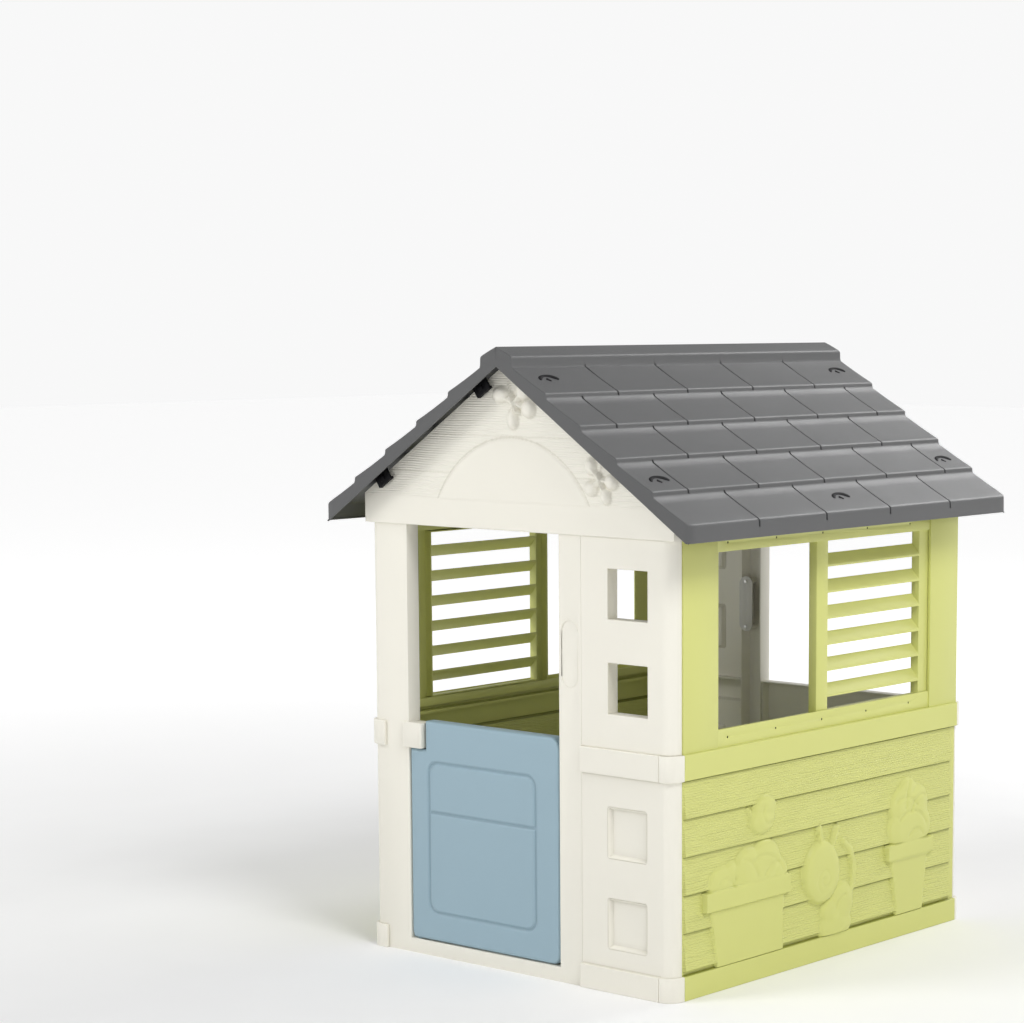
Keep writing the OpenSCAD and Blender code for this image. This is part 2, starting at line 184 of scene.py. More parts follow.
def add_wall(obj, thickness):
    """Gives an open skin its wall, inward from the visible face."""
    wall = obj.modifiers.new("wall", "SOLIDIFY")
    wall.thickness = thickness * MM
    wall.offset = -1
    bake_modifiers(obj)


def turn_about_z(degrees):
    return Matrix.Rotation(math.radians(degrees), 4, "Z")


def set_share(mesh, title, values):
    """Stores one number for each vertex under a title that the materials read."""
    mesh.attributes.new(title, "FLOAT", "POINT").data.foreach_set("value", values)


def round_off(a, b):
    """Moves a place in a unit square onto a quarter disc."""
    return a * math.sqrt(1 - min(b, 1) ** 2 / 2), b * math.sqrt(1 - min(a, 1) ** 2 / 2)


def smooth_by_angle(mesh, degrees):
    mesh.shade_smooth()
    mesh.set_sharp_from_angle(angle=math.radians(degrees))


def new_object(name, mesh):
    obj = bpy.data.objects.new(name, mesh)
    scene.collection.objects.link(obj)
    return obj


def soften(node, material, body, width=1.2, segments=2):
    """A copy of a CAD node with its hard edges rounded as a mould rounds them."""
    mesh = nodes[node].data.copy()
    tool = bmesh.new()
    tool.from_mesh(mesh)
    bmesh.ops.remove_doubles(tool, verts=tool.verts, dist=0.00002)
    bmesh.ops.dissolve_limit(tool, angle_limit=math.radians(0.6), verts=tool.verts, edges=tool.edges)
    tool.to_mesh(mesh)
    tool.free()
    obj = new_object(node + "_moulding", mesh)
    bevel = obj.modifiers.new("edge", "BEVEL")
    bevel.width = width * MM
    bevel.segments = segments
    bevel.limit_method = "ANGLE"
    bevel.angle_limit = math.radians(35)
    bevel.harden_normals = False
    bake_modifiers(obj)
    smooth_by_angle(obj.data, 40)
    return finish_piece(obj, material, body, (node,))


# ---------------------------------------------------------------- thin mouldings from a path and a relief
def spaced(values, least, last):
    """The values in order, without any that follow another by less than least, ending at last."""
    kept = []
    for value in sorted(values):
        if not kept or value - kept[-1] > least:
            kept.append(value)
    kept[-1] = last
    return np.array(kept)


def grid_lines(low, high, step, marks=(), beside=(0, 0.5, 1.5, 3.0)):
    """Grid lines from low to high, drawn close together at each mark."""
    found = set(np.linspace(low, high, max(2, round((high - low) / step) + 1)))
    for mark in marks:
        for gap in beside:
            found |= {mark - gap, mark + gap}
    return spaced([v for v in found if low <= v <= high], 0.2, high)


def grid_lines_more(lines, ranges, step):
    """The same grid lines with more of them inside each range."""
    extra = [v for low, high in ranges for v in np.arange(low, high, step)]
    return spaced(set(lines) | set(extra), 0.3, lines[-1])


def straight(values, offset):
    """Plan path of a flat wall: points and normals for each grid line."""
    points = np.stack([values, np.full(len(values), -float(offset))], 1)
    return points, np.tile([0.0, -1.0], (len(values), 1))


def round_corner(values, offset, side, r):
    """Plan path that turns the right-hand house corner with radius r."""
    points, normals = straight(values, offset)
    start = side - r
    arc = r * math.pi / 2
    for i, u in enumerate(values):
        if u > start:
            turn = min(u - start, arc) / r
            rest = max(0.0, u - start - arc)
            centre = np.array([start, -offset + r])
            normals[i] = [math.sin(turn), -math.cos(turn)]
            points[i] = centre + normals[i] * r + np.array([0.0, rest])
    return points, normals


def edge_drop(distance, r):
    """How far a rounded edge falls away, at a distance inward from it."""
    inner = np.clip(r - distance, 0, r)
    return r - np.sqrt(r * r - inner * inner)


def box_distance(u, v, box):
    """Distance from a rectangle: positive outside, negative inside."""
    du = np.maximum(box[0] - u, u - box[1])
    dv = np.maximum(box[2] - v, v - box[3])
    outside = np.hypot(np.maximum(du, 0), np.maximum(dv, 0))
    return outside + np.minimum(np.maximum(du, dv), 0)


def rounded_box_distance(u, v, box, r):
    return box_distance(u, v, (box[0] + r, box[1] - r, box[2] + r, box[3] - r)) - r


def ease(value, low, high):
    """Smooth step from 0 at low to 1 at high."""
    t = np.clip((value - low) / (high - low), 0, 1)
    return t * t * (3 - 2 * t)


def crease_painted_shade(height, us, vs, strength=0.45):
    """Painted shade: how deep each place lies in an inner corner of the relief, from 0 to strength, which
    darkens the colour there.
    """
    bend = np.gradient(np.gradient(height, us, axis=0), us, axis=0)
    bend += np.gradient(np.gradient(height, vs, axis=1), vs, axis=1)
    return strength * np.clip(bend * 1.3, 0, 1)


def thin_moulding(name, us, vs, path, relief, holes=(), depth=30.0, rims=None, grain=None,
                  turn=0.0, thick=skin, upright=True, keep=None, gap=None):
    """A skin that follows a path and a relief, with its edges turned inward, as one closed shell.

    us run along the path and vs across it. relief(u, v) is how far the face stands proud, holes are
    rectangles in u and v, and rims(u, v, point, normal) may give another place for a turned edge.
    """
    points, normals = path
    grid_u, grid_v = np.meshgrid(us, vs, indexing="ij")
    height = relief(grid_u, grid_v)
    count = len(vs)

    def at(point, v):
        return (point[0], point[1], v) if upright else (point[0], v, point[1])

    verts = [at(points[i] + normals[i] * height[i, j], vs[j]) for i in range(len(us)) for j in range(count)]
    faces = []
    for i in range(len(us) - 1):
        for j in range(count - 1):
            mid = ((us[i] + us[i + 1]) / 2, (vs[j] + vs[j + 1]) / 2)
            if any(h[0] < mid[0] < h[1] and h[2] < mid[1] < h[3] for h in holes):
                continue
            if keep and not keep(*mid):
                continue
            a = i * count + j
            faces.append((a, a + count, a + count + 1, a + 1))
    edges = {}
    for face in faces:
        for k in range(4):
            edges[(face[k], face[(k + 1) % 4])] = True
    border = [(a, b) for a, b in edges if (b, a) not in edges]
    rim_of = {}
    for pair in border:
        for a in pair:
            if a not in rim_of:
                i, j = divmod(a, count)
                rim_of[a] = len(verts)
                if rims:
                    verts.append(rims(us[i], vs[j], points[i], normals[i]))
                else:
                    verts.append(at(points[i] - normals[i] * depth, vs[j]))
    faces += [(b, a, rim_of[a], rim_of[b]) for a, b in border]
    used = sorted({v for face in faces for v in face})
    index = {v: k for k, v in enumerate(used)}
    mesh = bpy.data.meshes.new(name)
    place = turn_about_z(turn) @ Matrix.Scale(MM, 4)
    mesh.from_pydata([place @ Vector(verts[v]) for v in used], [], [[index[v] for v in f] for f in faces])
    # Painted shade for the gap attribute: the inner corners of the relief, plus what gap() adds.
    shares = {"gap": crease_painted_shade(height, us, vs) + (gap(grid_u, grid_v) if gap else 0)}
    if grain:
        shares["grain"] = grain(grid_u, grid_v)
    for title, share in shares.items():
        values = [float(share[divmod(v, count)]) if v < len(us) * count else 0.0 for v in used]
        set_share(mesh, title, values)
    obj = new_object(name, mesh)
    if thick:
        add_wall(obj, thick)
    smooth_by_angle(obj.data, 38)
    return obj


# ---------------------------------------------------------------- reliefs
def polygon_distance(u, v, corners):
    """Signed distance to a polygon, negative inside."""
    best = np.full(u.shape, 1e9)
    inside = np.zeros(u.shape, bool)
    for (x0, y0), (x1, y1) in zip(corners, corners[1:] + corners[:1]):
        ex, ey = x1 - x0, y1 - y0
        t = np.clip(((u - x0) * ex + (v - y0) * ey) / (ex * ex + ey * ey), 0, 1)
        best = np.minimum(best, np.hypot(u - x0 - t * ex, v - y0 - t * ey))
        crosses = (y0 > v) != (y1 > v)
        inside ^= crosses & (u < x0 + (v - y0) * ex / (ey if ey else 1e-9))
    return np.where(inside, -best, best)


def disc(u, v, x, y, rx, ry=None, lean=0.0):
    """Roughly signed distance to an ellipse, leaning by an angle in degrees."""
    ry = ry or rx
    c, s = math.cos(math.radians(lean)), math.sin(math.radians(lean))
    a = (u - x) * c + (v - y) * s
    b = (v - y) * c - (u - x) * s
    return (np.hypot(a / rx, b / ry) - 1) * min(rx, ry)


def stroke(u, v, points, w):
    """Distance to a line through points, less half its width w."""
    best = np.full(u.shape, 1e9)
    for (x0, y0), (x1, y1) in zip(points, points[1:]):
        ex, ey = x1 - x0, y1 - y0
        t = np.clip(((u - x0) * ex + (v - y0) * ey) / (ex * ex + ey * ey), 0, 1)
        best = np.minimum(best, np.hypot(u - x0 - t * ex, v - y0 - t * ey))
    return best - w / 2


def arc_points(x, y, r, start, end, count=12):
    angles = np.radians(np.linspace(start, end, count))
    return [(x + r * math.cos(a), y + r * math.sin(a)) for a in angles]


def boss(distance, high, edge=4.0, crown=0.0, reach=30.0):
    """Raised shape: a soft edge of width edge, then a crown that swells towards the middle."""
    rise = ease(-distance, -edge * 0.2, edge)
    return rise * (high + crown * ease(-distance, 0, reach))


def vein(distance, deep=1.6, w=3.0):
    return -deep * np.exp(-(distance / w) ** 2)


# ---------------------------------------------------------------- side walls, lime
boards_end = 463
plank_start, plank_rise = skirt_top + 9, 75.4
planks = [plank_start + plank_rise * i for i in range(6)]


def plank_height(u, v):
    """Lapped boards: each is thickest at its lower edge, which stands over the board below."""
    h = np.zeros(u.shape)
    for low, high in zip(planks, planks[1:]):
        t = (v - low) / (high - low)
        h = np.where((t >= 0) & (t < 1), (6.5 - 6.1 * t) * ease(v, low - 0.4, low + 1.2), h)
    ends = ease(u, side_front + 2, side_front + 4) * (1 - ease(u, boards_end - 1, boards_end + 1))
    return h * ends - 2.0 * np.exp(-((u - boards_end - 0.5) / 1.5) ** 2)


def plank_painted_shade(u, v):
    """Painted shade: dark lines under the boards and under the belt, where nothing covers them."""
    shown = (u > side_front + 3) & (u < boards_end - 1) & (figures_height(u, v) < 1.5)
    lines = [low - 0.6 for low in planks[1:5]] + [skirt_top + 1.5]
    near = np.minimum.reduce([np.abs(v - line) for line in lines])
    belt = np.abs(v - belt_low + 0.8)
    return 0.55 * shown * (1 - ease(near, 1.2, 3.0)) + 0.5 * (1 - ease(belt, 0.8, 2.4))


def planter_height(u, v):
    """A long planter with a small and a large clump of leaves behind its rim."""
    trough = polygon_distance(u, v, [(-393, 170), (-369, 40), (-152, 40), (-148, 170)])
    rim = rounded_box_distance(u, v, (-412, -130, 163, 205), 6)
    small = np.minimum(disc(u, v, -352, 214, 48, 40), disc(u, v, -322, 236, 30, 22))
    large = np.minimum.reduce([disc(u, v, -262, 230, 54, 48, -20), disc(u, v, -212, 232, 56, 56, 15),
                               disc(u, v, -170, 205, 36, 40), disc(u, v, -240, 205, 84, 40)])
    h = np.maximum(boss(small, 7.0, 8, 3), boss(large, 8.5, 9, 3))
    for line in (arc_points(-300, 195, 62, 20, 78), arc_points(-222, 180, 74, 30, 118),
                 arc_points(-345, 192, 32, 20, 130), arc_points(-180, 190, 44, 60, 150)):
        h = h + vein(stroke(u, v, line, 0)) * (np.minimum(small, large) < -4)
    h = np.where(v < 196, boss(trough, 8.0, 3), h)
    return np.where(rim < 3, np.maximum(h, boss(rim, 13.0, 2.5)), h)


def pot_height(u, v):
    """A tall pot with one rounded plant."""
    pot = polygon_distance(u, v, [(228, 172), (250, 40), (351, 40), (368, 172)])
    rim = rounded_box_distance(u, v, (213, 386, 168, 208), 5)
    crown = np.minimum.reduce([disc(u, v, 300, 236, 84, 60), disc(u, v, 282, 284, 60, 48),
                               disc(u, v, 322, 282, 50, 50), disc(u, v, 294, 318, 36, 28)])
    h = boss(crown, 8.5, 8, 4)
    for line in (arc_points(276, 246, 58, 40, 120), arc_points(300, 205, 66, 30, 130),
                 [(300, 345), (286, 316), (280, 280)], arc_points(318, 196, 34, 40, 140),
                 arc_points(340, 262, 40, 70, 170)):
        h = h + vein(stroke(u, v, line, 0), 2.2) * (crown < -5)
    h = np.where(v < 196, boss(pot, 8.0, 3), h)
    return np.where(rim < 3, np.maximum(h, boss(rim, 13.0, 2.5)), h)


def bird_height(u, v):
    """A small round bird that perches on a board."""
    body = disc(u, v, -221, 326, 44, 32, 10)
    head = disc(u, v, -213, 350, 40, 28)
    beak = polygon_distance(u, v, [(-246, 345), (-274, 362), (-256, 318)])
    wing = vein(stroke(u, v, arc_points(-205, 338, 22, 130, 300), 0), 1.6, 2.4) * (body < -2)
    return np.maximum(boss(np.minimum(body, head), 10, 7, 4) + wing, boss(beak, 6, 3))


def cat_height(u, v):
    """A small round-headed animal with two upright ears, sitting on the skirting, its tail curled up."""
    head = disc(u, v, -22, 186, 66, 70)
    ears = np.minimum(stroke(u, v, [(-18, 232), (-28, 280)], 19), stroke(u, v, [(14, 236), (34, 272)], 19))
    body = np.minimum.reduce([disc(u, v, 50, 112, 46, 48), disc(u, v, 30, 66, 62, 38),
                              disc(u, v, 20, 96, 44, 36)])
    tail = stroke(u, v, [(78, 118), (93, 158), (93, 192), (80, 222), (58, 238)], 21)
    h = boss(body, 8.5, 9, 4)
    h = np.maximum(h, boss(tail, 9, 5))
    h = np.maximum(h, boss(ears, 10, 5))
    h = np.maximum(h, boss(head, 12, 10, 3))
    swirl = [(-16 + a * 2.6 * math.cos(a), 170 + a * 2.6 * math.sin(a)) for a in np.linspace(1.5, 10.5, 40)]
    h = h + vein(stroke(u, v, swirl, 0), 1.2, 2.2) * (head < -8)
    return h + vein(stroke(u, v, arc_points(62, 90, 40, 95, 160), 0), 1.8, 2.8) * (body < -3)


def figures_height(u, v):
    """All four raised figures of a side wall."""
    figures = (planter_height, pot_height, bird_height, cat_height)
    return np.maximum.reduce([figure(u, v) for figure in figures])


def belt_and_skirt(v):
    """1 on the belt and on the skirting, 0 between them."""
    rise = ease(v, belt_low - 0.8, belt_low + 0.8) + 1 - ease(v, skirt_top - 0.8, skirt_top + 0.8)
    return np.clip(rise, 0, 1)


def side_lower_height(u, v):
    band = belt_and_skirt(v)
    field = 1 - band
    h = plank_height(u, v) * field
    h = np.maximum(h, figures_height(u, v) * ease(v, skirt_top - 1, skirt_top + 1))
    h = np.where(field < 0.99, np.maximum(h, proud * band), h)
    ends = np.minimum(np.minimum(u - side_front, side_rear - u), np.minimum(v, belt_top - v))
    h = h - edge_drop(ends, 1.5)
    return h - edge_drop(np.abs(v - belt_low) + 20 * (v < belt_low), 1.6) - edge_drop(
        np.abs(v - skirt_top) + 20 * (v > skirt_top), 1.6)


def side_lower_grain(u, v):
    field = (v > skirt_top + 2) & (v < belt_low - 2) & (u < boards_end - 1)
    return np.where(field & (figures_height(u, v) < 1.5), 1.0, 0.0)


def side_lower(name, turn):
    us = grid_lines(side_front, side_rear, 3.9, (side_front, boards_end, side_rear))
    vs = grid_lines(0, belt_top, 3.7, [0, skirt_top, belt_low, belt_top] + planks[:-1])
    obj = thin_moulding(name + "_cladding", us, vs, straight(us, half_w), side_lower_height,
                        depth=30, grain=side_lower_grain, gap=plank_painted_shade, turn=turn)
    return finish_piece(obj, lime, "house", (name,))


# ---------------------------------------------------------------- end walls, cream
def panel_path(us):
    return round_corner(us, half_d, half_w, corner_r)


panel_end = half_w - corner_r + corner_r * math.pi / 2 + (32 - corner_r)


def end_panel_edges(u, v, low, high, r=1.5):
    """How far the rounded outer edges of an end panel fall away."""
    inward = np.minimum.reduce([u - jamb_right, panel_end - u, v - low, high - v])
    return edge_drop(inward, r)


recesses = ((246, 346, 87, 189), (246, 346, 269, 372))
panes = ((247, 348, 556, 657), (247, 348, 743, 842))
panel_depth, reveal_depth = 22, 30


def box_lines(boxes):
    """Every level and every side of the boxes, as marks for the grid lines."""
    sides = [value for box in boxes for value in box[:2]]
    levels = [value for box in boxes for value in box[2:]]
    return sides, levels


def lower_panel_height(u, v):
    band = belt_and_skirt(v)
    h = proud * band * (1 - ease(u, cap_edge - 0.6, cap_edge + 0.2))
    h = h - edge_drop(np.abs(v - belt_low) + 20 * (v < belt_low), 1.6) * (u < cap_edge)
    h = h - edge_drop(np.abs(v - skirt_top) + 20 * (v > skirt_top), 1.6) * (u < cap_edge)
    for recess in recesses:
        d = rounded_box_distance(u, v, recess, 4)
        h = h - 9 * ease(-d, 0, 7) - edge_drop(np.abs(d) + 20 * (d < 0), 1.5)
    return h - end_panel_edges(u, v, 0, belt_top)


def lower_panel(name, turn):
    sides, levels = box_lines(recesses)
    beside = (0, 0.6, 1.6, 3.5, 7)
    us = grid_lines(jamb_right, panel_end, 6, [jamb_right, cap_edge, panel_end] + sides, beside)
    vs = grid_lines(0, belt_top, 8, [0, skirt_top, belt_low, belt_top] + levels, beside)
    obj = thin_moulding(name + "_skin", us, vs, panel_path(us), lower_panel_height,
                        depth=panel_depth, turn=turn)
    return finish_piece(obj, cream, "house", (name,))


def open_panel_height(u, v):
    h = -end_panel_edges(u, v, belt_top, wall_top)
    for pane in panes:
        h = h - edge_drop(box_distance(u, v, pane), 1.8)
    return h


def blind_panel_height(u, v):
    h = -end_panel_edges(u, v, belt_top, wall_top)
    for pane in panes:
        d = rounded_box_distance(u, v, pane, 4)
        h = h - 9 * ease(-d, 0, 7) - edge_drop(np.abs(d) + 20 * (d < 0), 1.5)
    return h


def upper_panel(name, turn, blind):
    sides, levels = box_lines(panes)
    beside = (0, 0.5, 1.2, 2.5, 7)
    us = grid_lines(jamb_right, panel_end, 6, [jamb_right, panel_end] + sides, beside)
    vs = grid_lines(belt_top, wall_top, 8, [belt_top, wall_top] + levels, beside)
    height = blind_panel_height if blind else open_panel_height

    def rims(u, v, p, n):
        depth = panel_depth if u > 360 else reveal_depth
        return (*(p - n * depth), v)

    obj = thin_moulding(name + "_skin", us, vs, panel_path(us), height,
                        holes=() if blind else panes, turn=turn, rims=rims)
    return finish_piece(obj, cream, "house", (name,))


# ---------------------------------------------------------------- gables
arch = (0, 862, 225)
arch_low = 960
board_lines = (1015, 1092)
gable_depth = 28


# Wings and body of each butterfly: centre, half width and half height of a wing, seen from the front
butterflies = (
    ((12, 1155), ((-38, 20, 25, 18), (-6, -28, 17, 23), (24, 28, 20, 21), (37, -7, 20, 20)),
     ((-9, 22), (9, -13)), ((-9, 22), (-20, 44))),
    ((236, 1010), ((-25, 30, 16, 19), (-24, -13, 19, 17), (14, -27, 14, 19), (28, 1, 19, 17)),
     ((-3, 16), (8, -10)), ((-3, 16), (2, 36))),
)


def butterflies_height(u, v):
    h = np.zeros(u.shape)
    for (x, y), wings, body, feeler in butterflies:
        for a, b, wide, tall in wings:
            root = stroke(u, v, [(x, y + 4), (x + a * 0.8, y + b * 0.8)], 17)
            h = np.maximum(h, boss(np.minimum(root, disc(u, v, x + a, y + b, wide, tall)), 7.5, 8, 5, 14))
        for line, w, high in ((body, 10, 14), (feeler, 4, 7)):
            h = np.maximum(h, boss(stroke(u, v, [(x + a, y + b) for a, b in line], w), high, 4.5))
    return h


def gable_grain(u, v):
    d = np.hypot(u - arch[0], v - arch[1]) - arch[2]
    return np.where((v > arch_low + 2) & (d > 2) & (butterflies_height(u, v) < 1), 1.0, 0.0)


# Painted shade along the board grooves, round the arch and round the butterflies.
def gable_painted_shade(u, v):
    d = np.hypot(u - arch[0], v - arch[1]) - arch[2]
    boards = np.minimum.reduce([np.abs(v - board) for board in board_lines])
    wings = butterflies_height(u, v)
    lines = 0.3 * ((boards < 1.3) & (d > 3)) + 0.4 * ((np.abs(d - 3) < 1.6) & (v > arch_low))
    return lines * (wings < 0.5) + 0.35 * ((wings > 0.3) & (wings < 3.5))


def gable_height(u, v):
    d = np.hypot(u - arch[0], v - arch[1]) - arch[2]
    field = v > arch_low
    h = np.where(field, -1.0, 0.0) + np.where(field, 2.6 * ease(-d, -1.5, 2.5), 0)
    h = h - 2.2 * np.exp(-((d - 3) / 2.2) ** 2) * field
    for board in board_lines:
        h = h - 2.2 * np.exp(-((v - board) / 1.5) ** 2) * (d > 3)
    h = h - 1.4 * np.exp(-((v - arch_low) / 1.2) ** 2)
    h = np.maximum(h, butterflies_height(u, v))
    return h - edge_drop(np.minimum(v - wall_top, gable_half - np.abs(u)), 1.6)


def gable(name, turn):
    """The triangle over an end wall, on a grid whose columns end at the roof line."""
    us = grid_lines(-gable_half, gable_half, 2.6, (-gable_half, gable_half), (0, 0.6, 1.6))
    ts = np.linspace(0, 1, 131)
    tops = gable_line - rake * np.abs(us)
    grid_v = wall_top + np.outer(tops - wall_top, ts)
    grid_u = np.repeat(us[:, None], len(ts), 1)
    height = gable_height(grid_u, grid_v)
    count = len(ts)
    place = turn_about_z(turn) @ Matrix.Scale(MM, 4)
    verts = [(us[i], -gable_face - height[i, j], grid_v[i, j])
             for i in range(len(us)) for j in range(count)]
    faces = [(a, a + count, a + count + 1, a + 1)
             for i in range(len(us) - 1) for a in range(i * count, i * count + count - 1)]
    ring = [i * count for i in range(len(us))]
    ring += [(len(us) - 1) * count + j for j in range(1, count)]
    ring += [i * count + count - 1 for i in range(len(us) - 2, -1, -1)]
    ring += [j for j in range(count - 2, 0, -1)]
    first = len(verts)
    verts += [(verts[a][0], -gable_face + gable_depth, verts[a][2]) for a in ring]
    for k, a in enumerate(ring):
        after = (k + 1) % len(ring)
        faces.append((ring[after], a, first + k, first + after))
    mesh = bpy.data.meshes.new(name)
    mesh.from_pydata([place @ Vector(v) for v in verts], [], faces)
    for title, rule in (("grain", gable_grain), ("gap", gable_painted_shade)):
        share = list(rule(grid_u, grid_v).reshape(-1)) + [0.0] * len(ring)
        set_share(mesh, title, share)
    obj = new_object(name + "_front", mesh)
    add_wall(obj, skin)
    smooth_by_angle(obj.data, 38)
    return finish_piece(obj, cream, "house", (name,))


# ---------------------------------------------------------------- roof
def roof_profile():
    """Points from the ridge to the eave and the tile row of each, with every row's edge rounded."""
    points = [(0, ridge_z), (14, 1264), (28, 1257.5), (37, 1253), (40, 1251.2), (41.3, 1249),
              (41.9, 1246), (42.3, 1234)]
    rows = [-1] * len(points)
    for i in range(5):
        x, z = row_start + i * row_w, row_top - i * (row_fall + row_drop)
        added = [(x + 2.4, z + 1.0)] if i else []
        for t in (0.05, 0.25, 0.5, 0.75, 0.93):
            added.append((x + row_w * t, z - row_fall * t - 1.2 * math.sin(math.pi * t)))
        x, z = x + row_w, z - row_fall
        if i < 4:
            added += [(x - 1.6, z + 0.9), (x + 0.4, z - 0.6), (x + 1.5, z - 2.8), (x + 1.6, z - 7)]
        points += added
        rows += [i] * len(added)
    eave = [(486.5, 941), (488.4, 938.6), (489.2, 935.5), (489.6, 926), (489.7, 925), (490, eave_z)]
    return np.array(points + eave, float), np.array(rows + [4] * 4 + [-1] * 2)


def path_normals(points):
    step = np.gradient(points, axis=0)
    normals = np.stack([-step[:, 1], step[:, 0]], 1)
    return normals / np.linalg.norm(normals, axis=1)[:, None]


def roof_row(x):
    return min(4, max(0, int((x - row_start) // row_w)))


def roof_half_shell(name, turn):
    """One half of the roof with its ridge band, five rows of tiles, fascia and verges."""
    points, rows = roof_profile()
    normals = path_normals(points)
    us = np.concatenate([[0], np.cumsum(np.hypot(*np.diff(points, axis=0).T))])
    joints = [k * tile_l / 2 for k in range(-4, 5)]
    vs = grid_lines(-roof_end, roof_end, 24, joints + [-roof_end, roof_end], (0, 1.3, 1.9, 2.6, 4, 12))

    def groove(u, v):
        """1 inside the joints between the tiles of a row, which shift by half a tile from row to row."""
        h = np.zeros(u.shape)
        for k in range(-4, 5):
            active = (rows >= 0) & ((rows % 2 == 0) == (k % 2 != 0))
            h = np.maximum(h, (1 - ease(np.abs(v - k * tile_l / 2), 1.25, 2.65)) * active[:, None])
        return h

    def relief(u, v):
        level = np.clip(normals[:, 1], 0, 1)[:, None]
        return -6.0 * groove(u, v) - edge_drop(roof_end - np.abs(v), 1.5) * level ** 2

    def skirt(u, v, p, n):
        if abs(abs(v) - roof_end) < 0.01:
            low = max(eave_z, rake_line - rake * p[0])
            return (p[0], v, min(p[1] - 2, low))
        return (p[0], v, p[1] - 18) if p[0] < 1 else (p[0] - 4, v, p[1])

    # Painted shade: the tile joints are darkened through the gap attribute.
    obj = thin_moulding(name + "_tiles", us, vs, (points, normals), relief, rims=skirt, thick=0,
                        upright=False, gap=lambda u, v: 0.85 * (groove(u, v) > 0.9))
    for vert in obj.data.vertices:
        round_eave_corner(vert)
    add_wall(obj, skin)
    obj.data.transform(turn_about_z(turn))
    smooth_by_angle(obj.data, 32)
    return finish_piece(obj, slate, "house", (name,))


def round_eave_corner(vert, r=13 * MM):
    """Rounds the two lower corners of a roof half, seen from above."""
    a = (vert.co.x - (roof_half * MM - r)) / r
    b = (abs(vert.co.y) - (roof_end * MM - r)) / r
    if a > 0 and b > 0:
        x, y = round_off(a, b)
        vert.co.x = roof_half * MM - r + x * r
        vert.co.y = math.copysign(roof_end * MM - r + y * r, vert.co.y)


def tube(name, points, radius, sides=8, flat=1.0):
    """Closed tube through points, in millimetres."""
    verts, faces = [], []
    points = [Vector(p) for p in points]
    for i, p in enumerate(points):
        along = (points[min(i + 1, len(points) - 1)] - points[max(i - 1, 0)]).normalized()
        side = along.cross(Vector((0, 0, 1))).normalized()
        up = side.cross(along)
        r = radius[i] if isinstance(radius, (list, tuple)) else radius
        for k in range(sides):
            a = 2 * math.pi * k / sides
            verts.append((p + side * math.cos(a) * r + up * math.sin(a) * r * flat) * MM)
    for i in range(len(points) - 1):
        for k in range(sides):
            a, b = i * sides + k, i * sides + (k + 1) % sides
            faces.append((a, b, b + sides, a + sides))
    faces.append(tuple(range(sides))[::-1])
    faces.append(tuple(range(len(verts) - sides, len(verts))))
    mesh = bpy.data.meshes.new(name)
    mesh.from_pydata(verts, [], faces)
    return mesh


def roof_surface_z(x):
    row = roof_row(x)
    start = row_start + row * row_w
    t = (x - start) / row_w
    return row_top - row * (row_fall + row_drop) - row_fall * t - 1.2 * math.sin(math.pi * t)


def join_meshes(name, meshes):
    tool = bmesh.new()
    for mesh in meshes:
        tool.from_mesh(mesh)
    bmesh.ops.recalc_face_normals(tool, faces=tool.faces)
    mesh = bpy.data.meshes.new(name)
    tool.to_mesh(mesh)
    tool.free()
    return mesh


def repeat_tree(name, material):
    """Node tree that sets one shape at every point, at one tilt, as real geometry."""
    tree = bpy.data.node_groups.new(name, "GeometryNodeTree")
    for title, kind in (("Points", "Geometry"), ("Shape", "Object"), ("Tilt", "Float")):
        tree.interface.new_socket(title, in_out="INPUT", socket_type="NodeSocket" + kind)
    tree.interface.new_socket("Geometry", in_out="OUTPUT", socket_type="NodeSocketGeometry")
    ends = tree.nodes.new("NodeGroupInput"), tree.nodes.new("NodeGroupOutput")
    shape = tree.nodes.new("GeometryNodeObjectInfo")
    turn = tree.nodes.new("ShaderNodeCombineXYZ")
    place = tree.nodes.new("GeometryNodeInstanceOnPoints")
    real = tree.nodes.new("GeometryNodeRealizeInstances")
    finish = tree.nodes.new("GeometryNodeSetMaterial")
    finish.inputs["Material"].default_value = material
    link = tree.links.new
    link(ends[0].outputs["Points"], place.inputs["Points"])
    link(ends[0].outputs["Shape"], shape.inputs["Object"])
    link(ends[0].outputs["Tilt"], turn.inputs["Y"])
    link(shape.outputs["Geometry"], place.inputs["Instance"])
    link(turn.outputs["Vector"], place.inputs["Rotation"])
    link(place.outputs["Instances"], real.inputs["Geometry"])
    link(real.outputs["Geometry"], finish.inputs["Geometry"])
    link(finish.outputs["Geometry"], ends[1].inputs["Geometry"])
    return tree


def repeat(name, shape_mesh, points, tilt, material):
    """One mesh with a copy of shape_mesh at every point, made by the node tree."""
    cloud = bpy.data.meshes.new(name)
    cloud.from_pydata([Vector(p) * MM for p in points], [], [])
    obj = new_object(name, cloud)
    shape = new_object(name + "_shape", shape_mesh)
    tree = repeat_tree(name, material)
    modifier = obj.modifiers.new("repeat", "NODES")
    modifier.node_group = tree
    values = {"Shape": shape, "Tilt": tilt}
    for item in tree.interface.items_tree:
        if item.name in values:
            modifier[item.identifier] = values[item.name]
    bake_modifiers(obj)
    bpy.data.objects.remove(shape)
    return obj


slot_places = ((80, 484), (80, -484), (365, 487), (365, -487), (442, 0))


